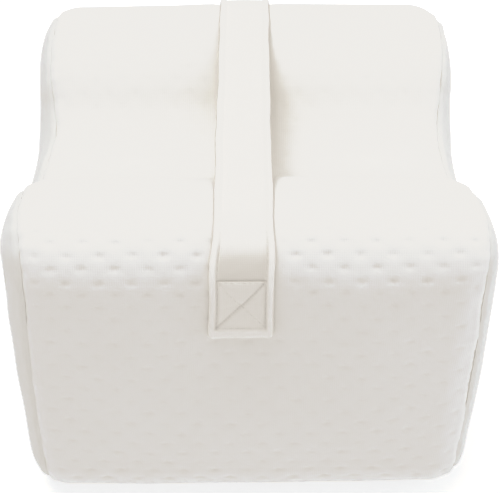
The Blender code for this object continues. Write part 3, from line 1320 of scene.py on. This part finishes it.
@dataclass
class Strap:
    """The padded strap with rolled borders, sewn down at the front and the back.

    Attributes:
        outline: Outline that it lies on.
        finish: Cloth of the strap.
        end_height: Lower edge of each sewn end above the resting surface.
        width: Width of its flat cut at the sewn ends.
        middle_x: Sideways place at the middle of the span.
        drift: Sideways drift for each metre along it.
        widths: Distance from a sewn end, and width there.
        shifts: Distance from the front end, and sideways shift there.
        slack_angle: Degrees below level at which it leaves a lobe.
        corner: Rounding of the corners of the ends.
        gap: Gap to the cushion.
        seam_share: Place of the border stitching, as a share of the half width.
        box_bottom: Height of the box stitching's lower line.
        box_top: Height of its upper line.
        tuck: How deep the cloth is drawn in above a box.
        facet_depth: How deep the crossing of a box's stitching lies.
        tuck_length: Length over which it rises again.
        ledge: Length of the step down onto the drawn-in cloth.
        box_fade: Places across a box between which the drawn-in cloth ends.
        line_reach: Fading distances of a border line, a box's lower and upper line and its
            diagonals.
        line_end: How far past its box a line of the box runs on, as a place in it.
        faint: Depth of a box's lower line and its weaker diagonal, as shares of a full line.
        border_end: Distances above a box between which the border lines fade.
        border_faded: Share of their depth that they lose.
        padding: Height of the rolled borders and the foot before they bulge.
        border_roll: Bulge of the borders.
        foot_roll: Bulge of the foot.
        flat_height: Height between the borders.
        crown: Rise of the middle above it.
        puff: Rise of a box's cloth between its lines.
        channel_depth: Depth of the sewn channels.
        rim_rounding: Rounding of the long edges.
        end_rounding: Rounding of the ends.
        edge_share: Share of the height that is left at the very edge.
        shades: Painted shade in a channel, on the drawn-in cloth, over a box and on its upper
            ledge.
        edge_waves: Unevenness of its width.
        sway: Unevenness of its middle line.
        cloth_waves: Unevenness of its upper face.
        pitch: Spacing of the mesh along the strap.
        across_steps: Faces across the strap.
    """

    outline: Outline
    finish: KnitFinish
    end_height: float = 0.1318
    width: float = 0.0320
    middle_x: float = -0.0011
    drift: float = 0.0125
    widths: tuple[tuple[float, float], ...] = (
        (0.0, 0.0320), (0.032, 0.0316), (0.044, 0.0311), (0.054, 0.0298), (0.064, 0.0291),
        (0.200, 0.0291))
    shifts: tuple[tuple[float, float], ...] = (
        (0.0, -0.0008), (0.038, -0.0006), (0.052, 0.0004), (0.080, 0.0003), (0.130, 0.0))
    slack_angle: float = 3.5
    corner: float = 0.0020
    gap: float = 0.0003
    seam_share: float = 0.75
    box_bottom: float = 0.1389
    box_top: float = 0.1672
    tuck: float = 0.0006
    facet_depth: float = 0.0017
    tuck_length: float = 0.020
    ledge: float = 0.0004
    box_fade: tuple[float, float] = (0.90, 1.0)
    line_reach: tuple[float, ...] = (0.0007, 0.0006, 0.0005, 0.0006)
    line_end: float = 1.02
    faint: tuple[float, float] = (0.35, 0.25)
    border_end: tuple[float, float] = (0.008, 0.026)
    border_faded: float = 0.80
    padding: float = 0.0020
    border_roll: float = 0.0012
    foot_roll: float = 0.0014
    flat_height: float = 0.0022
    crown: float = 0.00015
    puff: float = 0.00035
    channel_depth: float = 0.0006
    rim_rounding: float = 0.0020
    end_rounding: float = 0.0018
    edge_share: float = 0.30
    shades: tuple[float, float, float, float] = (0.85, 0.75, 0.28, 1.5)
    edge_waves: Ripples = Ripples(0.00010, 0.012, 0.040, 41, 8)
    sway: Ripples = Ripples(0.00015, 0.035, 0.090, 42, 6)
    cloth_waves: Ripples = Ripples(0.00010, 0.007, 0.030, 43, 12)
    pitch: float = 0.0007
    across_steps: int = 44

    @cached_property
    def path(self) -> Array:
        """Rows of distance, y, height and outward direction of the underside, front to back."""
        half = self._half_path()
        mirrored = half[::-1] * np.array([-1, 1, -1, 1])
        rows = np.vstack([mirrored[:-1], half])
        along = np.concatenate([[0], np.cumsum(np.hypot(*np.diff(rows[:, :2], axis=0).T))])
        along -= along[-1] / 2
        return np.column_stack([along, rows])

    def _half_path(self) -> Array:
        """Underside y, height and outward direction from mid-span to the back end."""
        outline = self.outline
        slack = math.radians(self.slack_angle)
        lobe_z = outline.half_height - outline.lobe_rounding
        reach = outline.lobe_rounding + self.gap
        leave_y = outline.lobe_y - reach * math.sin(slack)
        leave_z = lobe_z + reach * math.cos(slack)
        y = np.linspace(0, leave_y, 60, endpoint=False)
        z = leave_z - math.tan(slack) * (leave_y**2 - y**2) / (2 * leave_y)
        slope = math.tan(slack) * y / leave_y
        length = np.hypot(1.0, slope)
        span = np.stack([y, z, -slope / length, 1 / length], axis=1)
        angle = np.linspace(math.pi / 2 + slack, math.pi / 2, 12, endpoint=False)
        lobe = self._arc(outline.lobe_y, lobe_z, reach, angle)
        angle = np.linspace(math.pi / 2, 0, 80)
        face_z = outline.half_height - outline.face_rounding
        bend = self._arc(outline.lobe_y, face_z, outline.face_rounding + self.gap, angle)
        z = np.linspace(face_z, self.end_height - outline.centre, 60)[1:]
        face = np.stack([np.full_like(z, outline.depth / 2 + self.gap), z,
                         np.ones_like(z), np.zeros_like(z)], axis=1)
        half = np.vstack([span, lobe, bend, face])
        half[:, 1] += outline.centre
        return half

    @staticmethod
    def _arc(centre_y: float, centre_z: float, radius: float, angle: Array) -> Array:
        """Rows of y, z and outward direction on an arc."""
        out = np.stack([np.cos(angle), np.sin(angle)], axis=1)
        return np.hstack([np.array([centre_y, centre_z]) + radius * out, out])

    @property
    def length(self) -> float:
        """Length of the strap's cloth from end to end."""
        return float(self.path[-1, 0] - self.path[0, 0])

    def on_path(self, along: Array) -> tuple[Array, Array, Array, Array]:
        """y, height and outward direction at distances from the middle of the span."""
        distance, *values = self.path.T
        return tuple(np.interp(along, distance, value) for value in values)

    def half_width(self, along: Array) -> Array:
        """Half of the strap's width, wider at its ends, with rounded corners."""
        ends = self.from_end(along)
        width = np.interp(ends, *np.array(self.widths).T)
        near = np.clip(self.corner - ends, 0, self.corner)
        uneven = self.edge_waves.at(0.0, along)
        return width / 2 + uneven - (self.corner - np.sqrt(self.corner**2 - near**2))

    def from_end(self, along: Array) -> Array:
        """Distance to the nearer sewn end."""
        return self.length / 2 - np.abs(along)

    def centre_x(self, along: Array) -> Array:
        """Sideways place of the strap's middle."""
        shift = np.interp(along + self.length / 2, *np.array(self.shifts).T)
        return self.middle_x + self.drift * along + shift + self.sway.at(0.0, along)

    @property
    def box_half_height(self) -> float:
        """Half the height of a box of stitching."""
        return (self.box_top - self.box_bottom) / 2

    def box_place(self, share: Array, along: Array) -> tuple[Array, Array, Array]:
        """Place across and up a sewn end's box, from -1 to 1 in it, and distance above it."""
        bottom, top = (height - self.end_height for height in (self.box_bottom, self.box_top))
        up = (self.from_end(along) - bottom) / (top - bottom) * 2 - 1
        return share / self.seam_share, up, (up - 1) * self.box_half_height

    def channels(self, share: Array, along: Array) -> Array:
        """How far places lie in the sewn channels, from 0 to 1.

        Args:
            share: Place across the strap, from -1 to 1.
            along: Distance from the middle of the span.

        Returns:
            1 on a line of stitching, fading to 0 beside it.
        """
        half, tall = self.width / 2, self.box_half_height
        wide = half * self.seam_share
        side, up, over = self.box_place(share, along)
        border, bottom, top, diagonal = self.line_reach
        faint_bottom, faint_diagonal = self.faint
        tight = ease(up, -1.04, -1.0) * (1 - self.border_faded * ease(over, *self.border_end))
        lines = tight * bell((np.abs(share) - self.seam_share) * half, border)
        crossing = np.abs(side) <= self.line_end
        within = crossing * (np.abs(up) <= self.line_end)
        lines = np.maximum(lines, faint_bottom * bell((up + 1) * tall, bottom) * crossing)
        lines = np.maximum(lines, bell(over, top) * crossing)
        for lean in (-1, 1):
            gap = (up * tall * wide - lean * side * wide * tall) / math.hypot(tall, wide)
            strong = np.where(lean * np.sign(along) == -1, 1.0, faint_diagonal)
            lines = np.maximum(lines, strong * bell(gap, diagonal) * within)
        return lines

    def tucked(self, share: Array, along: Array) -> Array:
        """How far the cloth is drawn in above a box, from 0 to 1."""
        side, _, over = self.box_place(share, along)
        inside = 1 - ease(np.abs(side), *self.box_fade)
        rise = 1 - ease(over, 0.4 * self.tuck_length, self.tuck_length)
        return ease(over, 0.0, self.ledge) * rise * inside

    def sunken(self, share: Array, along: Array) -> Array:
        """Depth of the cloth that rises slowly above a box, and of the four facets in it."""
        side, up, over = self.box_place(share, along)
        inside = 1 - ease(np.abs(side), *self.box_fade)
        rise = ease(over, 0.0, self.ledge) * (1 - np.clip(over / self.tuck_length, 0, 1)) ** 2
        facet = np.clip(1 - np.maximum(np.abs(side), np.abs(up)), 0, 1)
        facet = facet * np.where(up < 0, 1.0, 0.8)
        return self.tuck * rise * inside + self.facet_depth * facet

    @staticmethod
    def bulge(distance: Array, width: float) -> Array:
        """A half-round rise over a strip of cloth, from 0 at its edges to 1 in its middle."""
        return np.sqrt(np.maximum(0.0, 1 - (distance / width * 2 - 1) ** 2))

    def top(self, share: Array, along: Array) -> Array:
        """Height of the strap's upper face above its path.

        Args:
            share: Place across the strap, from -1 to 1.
            along: Distance from the middle of the span.

        Returns:
            Heights in the broadcast shape.
        """
        half = self.width / 2
        side, up, _ = self.box_place(share, along)
        rim, end = (1 - np.abs(share)) * half, self.from_end(along)
        border, hem = (1 - self.seam_share) * half, self.box_bottom - self.end_height
        rolled = self.padding + self.border_roll * self.bulge(rim, border)
        puffs = self.puff * np.sqrt(np.clip((1 - side**2) * (1 - up**2), 0, 1))
        flat = self.flat_height + self.crown * bell(side, 0.5) + puffs
        height = np.where(rim < border, rolled, flat)
        foot = self.padding + self.foot_roll * self.bulge(end, hem)
        foot = np.maximum(foot, np.where(rim < border, height, 0))
        height = np.where(end < hem, foot, height)
        height = height - self.channel_depth * self.channels(share, along)
        height = height - self.sunken(share, along)
        height = height + self.cloth_waves.at(share * half, along)
        for edge, radius in ((rim, self.rim_rounding), (end, self.end_rounding)):
            drop = np.clip(1 - edge / radius, 0, 1)
            kept = self.edge_share + (1 - self.edge_share) * np.sqrt(1 - drop**2)
            height = height * kept
        return height

    def under(self, share: Array) -> Array:
        """Height of the strap's lower face, which lifts a little at its rolled borders."""
        return 0.0003 * ease(np.abs(share), 0.94, 1.0)

    def point(self, share: Array, along: Array, lift: Array) -> Array:
        """Points over the path.

        Args:
            share: Place across the strap, from -1 to 1.
            along: Distance from the middle of the span.
            lift: Height above the path.

        Returns:
            Points with a last axis of three.
        """
        y, z, out_y, out_z = self.on_path(along)
        x = self.centre_x(along) + self.half_width(along) * share
        return stacked(x, y + lift * out_y, z + lift * out_z)

    def build(self) -> bpy.types.Object:
        """Make the mesh object.

        Returns:
            The strap, closed all round.
        """
        count = round(self.length / self.pitch) + 1
        along = np.linspace(self.path[0, 0], self.path[-1, 0], count)[:, None]
        angle = np.linspace(-math.pi / 2, math.pi / 2, self.across_steps + 1)
        share = (0.55 * np.sin(angle) + 0.45 * angle / (math.pi / 2))[None, :]
        inner = share[:, -2:0:-2]
        upper = self.point(share, along, self.top(share, along))
        lower = self.point(inner, along, self.under(inner) + 0 * along)
        loops = np.concatenate([upper, lower], axis=1)
        places = np.concatenate([share, inner], axis=1) * self.width / 2
        # Painted shade on the upper face only.
        hollow_shade = self.shading(share, along)
        hollow_shade = np.concatenate([hollow_shade, np.zeros((count, inner.size))], axis=1)
        return mesh_object("strap_cloth", loops.reshape(-1, 3),
                           tube_faces(*hollow_shade.shape, flip=True), self.finish.material(),
                           stacked(places, along).reshape(-1, 2), hollow_shade.ravel())

    def shading(self, share: Array, along: Array) -> Array:
        """Painted shade where the stitching draws the cloth in, from 0 to 1 and a little more.

        Args:
            share: Place across the strap, from -1 to 1.
            along: Distance from the middle of the span.

        Returns:
            Shares in the broadcast shape.
        """
        channel, drawn, box, ledge = self.shades
        side, up, over = self.box_place(share, along)
        # Painted shade over a box, in the channels and on the drawn-in cloth above it.
        boxed = box * (1 - ease(np.maximum(np.abs(side), np.abs(up)), 0.96, 1.0))
        shade = np.maximum(channel * self.channels(share, along),
                           drawn * self.tucked(share, along) + boxed)
        # Painted shade on the ledge above a box, which faces up and would catch the light.
        return np.maximum(shade, ledge * bell(over - 0.0003, 0.0005) * (np.abs(side) < 1))


@dataclass
class Stitches:
    """Rows of thread stitches on the strap.

    Attributes:
        strap: The strap that they hold.
        finish: Thread of the stitches.
        pitch: Distance from stitch to stitch.
        length: Length of one stitch.
        radius: Radius of the thread.
        sunk: How deep the thread's middle lies under the cloth.
        top_shift: How far the upper row of a box lies below the box's edge.
        stations: Places along a stitch, in half lengths, with the share of its radius and
            its rise there.
        sides: Sides of the thread.
    """

    strap: Strap
    finish: KnitFinish
    pitch: float = 0.0031
    length: float = 0.0023
    radius: float = 0.00022
    sunk: float = 0.00008
    top_shift: float = 0.0006
    stations: tuple[tuple[float, float, float], ...] = (
        (-1.0, 0.25, -0.00035), (-0.7, 0.8, 0.0), (0.0, 1.0, 0.0001), (0.7, 0.8, 0.0),
        (1.0, 0.25, -0.00035))
    sides: int = 6

    def lines(self) -> list[Array]:
        """Rows of share and distance along the strap for each line of stitching."""
        strap = self.strap
        end = float(strap.path[-1, 0])
        bottom = end - (strap.box_bottom - strap.end_height)
        top = end - (strap.box_top - strap.end_height) + self.top_shift
        share = strap.seam_share
        lines = [np.array([[side * share, -bottom], [side * share, bottom]]) for side in (-1, 1)]
        for way in (-1, 1):
            corners = [(side * share, way * row) for row in (bottom, top) for side in (-1, 1)]
            for first, last in ((0, 1), (2, 3), (0, 3), (1, 2)):
                lines.append(np.array([corners[first], corners[last]]))
        return lines

    def build(self) -> bpy.types.Object:
        """Make all stitches as one mesh object.

        Returns:
            The stitches.
        """
        points, faces, cloth = [], [], []
        for line in self.lines():
            step = (line[1] - line[0]) * np.array([self.strap.width / 2, 1.0])
            reach = float(np.hypot(*step))
            count = max(1, round(reach / self.pitch))
            half = self.length / reach / 2
            for i in range(count):
                middle = (i + 0.5) / count
                stations = middle + half * np.array(self.stations)[:, :1]
                spots = line[0] + (line[1] - line[0]) * stations
                ring, quads = self._thread(spots)
                faces.append(quads + sum(len(p) for p in points))
                points.append(ring)
                cloth.append(np.zeros((len(ring), 2)) + spots[2])
        return mesh_object("strap_stitches", np.concatenate(points), [np.concatenate(faces)],
                           self.finish.material(), np.concatenate(cloth))

    def _thread(self, spots: Array) -> tuple[Array, Array]:
        """One stitch, thick in its middle.

        Args:
            spots: Share and distance along the strap of its rings.

        Returns:
            Points and faces.
        """
        share, along = spots.T
        _, swell, rise = np.array(self.stations).T
        lift = self.strap.top(share, along) - self.sunk + rise
        centre = self.strap.point(share, along, lift)
        _, _, out_y, out_z = self.strap.on_path(along)
        out = np.stack([0 * out_y, out_y, out_z], axis=-1)
        run = np.gradient(centre, axis=0)
        run /= np.linalg.norm(run, axis=-1, keepdims=True)
        beside = np.cross(run, out)
        beside /= np.linalg.norm(beside, axis=-1, keepdims=True)
        angle = np.linspace(0, 2 * math.pi, self.sides, endpoint=False)[None, :, None]
        ring = beside[:, None] * np.cos(angle) + out[:, None] * np.sin(angle)
        rings = centre[:, None] + (swell * self.radius)[:, None, None] * ring
        return rings.reshape(-1, 3), grid_faces(len(spots), self.sides)


# The studio


@dataclass(frozen=True)
class PhotoCamera:
    """The photo's camera.

    Attributes:
        place: Where it stands.
        elevation: Degrees by which it looks down.
        turn: Degrees by which it looks to the right.
        lens: Focal length, in millimetres.
        sensor: Width of its sensor, in millimetres.
        clip: Nearest and farthest distance that it shows.
    """

    place: tuple[float, float, float] = (-0.0047, -0.5761, 0.5703)
    elevation: float = 40.194
    turn: float = 0.696
    lens: float = 91.56
    sensor: float = 36.0
    clip: tuple[float, float] = (0.01, 20.0)

    def build(self) -> bpy.types.Object:
        """Make the camera and hand it to the scene."""
        data = bpy.data.cameras.new("camera")
        data.lens = self.lens
        data.sensor_width = self.sensor
        data.clip_start, data.clip_end = self.clip
        camera = linked(bpy.data.objects.new("camera", data))
        camera.location = self.place
        camera.rotation_euler = (math.radians(90 - self.elevation), 0.0, -math.radians(self.turn))
        bpy.context.scene.camera = camera
        return camera


@dataclass(frozen=True)
class SoftLight:
    """One soft studio light.

    Attributes:
        name: Name of the light.
        place: Where it stands.
        target: Where it points.
        size: Side of its square.
        power: Power in watts.
        colour: Colour of its light.
    """

    name: str
    place: tuple[float, float, float]
    target: tuple[float, float, float]
    size: float
    power: float
    colour: Colour = (1.0, 1.0, 1.0)

    def build(self) -> bpy.types.Object:
        """Make the light."""
        data = bpy.data.lights.new(self.name, "AREA")
        data.shape = "SQUARE"
        data.size = self.size
        data.energy = self.power
        data.color = self.colour
        light = linked(bpy.data.objects.new(self.name, data))
        light.location = self.place
        heading = Vector(self.target) - Vector(self.place)
        light.rotation_euler = heading.to_track_quat("-Z", "Y").to_euler()
        return light


@dataclass(frozen=True)
class Studio:
    """A white sweep with soft light from above.

    Attributes:
        lights: The lamps.
        horizon: Strength of the light from the side.
        zenith: Strength of the light from above.
        zenith_height: Height of a direction at which it is reached.
        sky_colour: Colour of both.
        floor_size: Side of the floor.
        floor_glow: Light that the floor adds to what it reflects.
        floor_white: How much the floor reflects.
        film: Brightness in and out of the camera's response, which holds the whites back.
        cloth_tint: Tint of the light from the cloth that it answers to.
        mid_tint: Tint that it shows in the middle tones.
        white_tint: Tint of the held whites.
        held_span: Brightness between which the tint changes over.
        film_limit: Brightness at which the response ends.
    """

    lights: tuple[SoftLight, ...] = (
        SoftLight("key", (-0.36, -0.05, 1.9), (0.0, 0.0, 0.1), 1.10, 11.6, (1.0, 0.99, 0.975)),
        SoftLight("fill", (1.3, -0.10, 0.50), (0.1, 0.0, 0.1), 0.8, 2.6, (0.98, 0.99, 1.0)),
    )
    horizon: float = 0.11
    zenith: float = 0.99
    zenith_height: float = 0.9
    sky_colour: Colour = (1.0, 0.997, 0.99)
    floor_size: float = 30.0
    floor_glow: float = 0.56
    floor_white: float = 0.56
    film: tuple[tuple[float, float], ...] = (
        (0.0, 0.0), (0.45, 0.445), (0.64, 0.648), (0.69, 0.700), (0.75, 0.792), (0.80, 0.846),
        (0.93, 0.872), (1.01, 1.0),
    )
    cloth_tint: Colour = (1.0, 0.965, 0.890)
    mid_tint: Colour = (1.0, 0.946, 0.868)
    white_tint: Colour = (1.0, 0.982, 0.945)
    held_span: tuple[float, float] = (0.64, 0.78)
    film_limit: float = 2.0

    def build(self) -> None:
        """Make the floor, the lamps and the even light."""
        half = self.floor_size / 2
        corners = half * np.array([(-1, -1, 0), (1, -1, 0), (1, 1, 0), (-1, 1, 0)])
        floor = mesh_object("floor", corners, [np.array([[0, 1, 2, 3]])], self._floor_material(),
                            corners[:, :2])
        for light in self.lights:
            light.build()
        scene = bpy.context.scene
        scene.world = self._sky()
        scene.view_settings.view_transform = "Standard"
        scene.view_settings.look = "None"
        self._expose(scene.view_settings)

    def _sky(self) -> bpy.types.World:
        """The even light, stronger from above than from the side."""
        world = bpy.data.worlds.new("studio")
        world.use_nodes = True
        tree = world.node_tree
        place = add_node(tree, "ShaderNodeTexCoord", {}, "Generated")
        height = add_node(tree, "ShaderNodeSeparateXYZ", {"Vector": place}, "Z")
        ramp = {"Value": height, "From Max": self.zenith_height, "To Min": self.horizon,
                "To Max": self.zenith}
        fill_inputs(tree, tree.nodes["Background"], {
            "Color": (*self.sky_colour, 1.0),
            "Strength": add_node(tree, "ShaderNodeMapRange", ramp, "Result")})
        return world

    def _expose(self, view: bpy.types.ColorManagedViewSettings) -> None:
        """Give the picture the camera's response to bright cloth."""
        view.use_curve_mapping = True
        mapping = view.curve_mapping
        mapping.clip_max_x = mapping.clip_max_y = self.film_limit
        tints = zip(mapping.curves[:3], self.cloth_tint, self.mid_tint, self.white_tint)
        for curve, cloth, middle, white in tints:
            curve.points[0].location = self.film[0]
            curve.points[1].location = self.film[-1]
            for value, shown in self.film[1:-1]:
                held = float(ease(value, *self.held_span))
                curve.points.new(value * cloth, shown * (middle + (white - middle) * held))
        mapping.update()

    def _floor_material(self) -> bpy.types.Material:
        """The bright paper of the floor."""
        material = bpy.data.materials.new("paper")
        material.use_nodes = True
        tree = material.node_tree
        fill_inputs(tree, tree.nodes["Principled BSDF"], {
            "Base Color": (self.floor_white,) * 3 + (1.0,), "Roughness": 1.0,
            "Specular IOR Level": 0.0, "Emission Color": (1.0, 1.0, 1.0, 1.0),
            "Emission Strength": self.floor_glow})
        return material


def log_piece(thing: bpy.types.Object) -> bpy.types.Object:
    """Report a finished piece with its size in the log."""
    size = ", ".join(f"{1000 * length:.1f}" for length in thing.dimensions)
    LOG.info("%s: %d faces, %s mm", thing.name, len(thing.data.polygons), size)
    return thing


def declare(thing: bpy.types.Object, slot: Slot, *nodes: str) -> bpy.types.Object:
    """Attach a piece to the root body, hide the frame's nodes that it stands for and log it.

    Args:
        thing: The piece.
        slot: Material slot of the record; not used.
        nodes: Nodes of the frame that it stands for.

    Returns:
        The piece.
    """
    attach(thing, "root")
    if nodes:
        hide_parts(*nodes)
    return log_piece(thing)


def main() -> None:
    """Build the pieces over the frame, then the studio round them."""
    logging.basicConfig(level=logging.INFO, format="%(message)s")
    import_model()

    low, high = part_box("cushion")
    panel_low, panel_high = (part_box(f"side_panel_{side}") for side in ("left", "right"))
    outline = Outline(depth=high.y - low.y, height=high.z)
    edge = SideEdge((panel_high[1].x - panel_low[0].x) / 2, 4 * outline.quarter_length)
    form = PillowForm(outline, edge, LUMPS)

    # hollow_shade sets how far dimples and sewn channels are painted with shade.
    cover = KnitFinish("cover_knit", (0.80, 0.78, 0.735), (0.71, 0.685, 0.635), mottle=0.15,
                       hollow_shade=0.19)
    panel = KnitFinish("panel_knit", (0.742, 0.727, 0.683), (0.677, 0.659, 0.612), mottle=0.15,
                       hollow_shade=0.0)
    tape = KnitFinish("strap_knit", (0.83, 0.803, 0.748), (0.56, 0.535, 0.485), wale=0.0009,
                      mottle=0.06, hollow_shade=0.55)
    thread = KnitFinish("strap_thread", (0.77, 0.75, 0.705), (0.70, 0.68, 0.63), wale=0.0004,
                        course=0.0004, hollow_shade=0.0)

    cushion = Cushion(form, DimpleLattice(), SeamRelief(edge.dip), cover).build()
    swelling = Filling().run(cushion, form)
    if swelling:
        swelling.apply(cushion)
    declare(cushion, Slot.COVER, "cushion")

    cuts = ((Side.LEFT, (0.238, 0.178), 0.0368), (Side.RIGHT, (0.233, 0.173), 0.0338))
    for side, flat, area in cuts:
        sheet = SidePanel(form, side, SeamRelief(edge.dip), panel).build()
        if swelling:
            swelling.apply(sheet)
        declare(sheet, Slot.PANEL, f"side_panel_{side.name.lower()}")

    band = Strap(outline, tape)
    strap = declare(band.build(), Slot.STRAP, "strap")
    stitches = declare(Stitches(band, thread).build(), Slot.STRAP)
    band.length

    Studio().build()
    PhotoCamera().build()


if __name__ == "__main__":
    main()
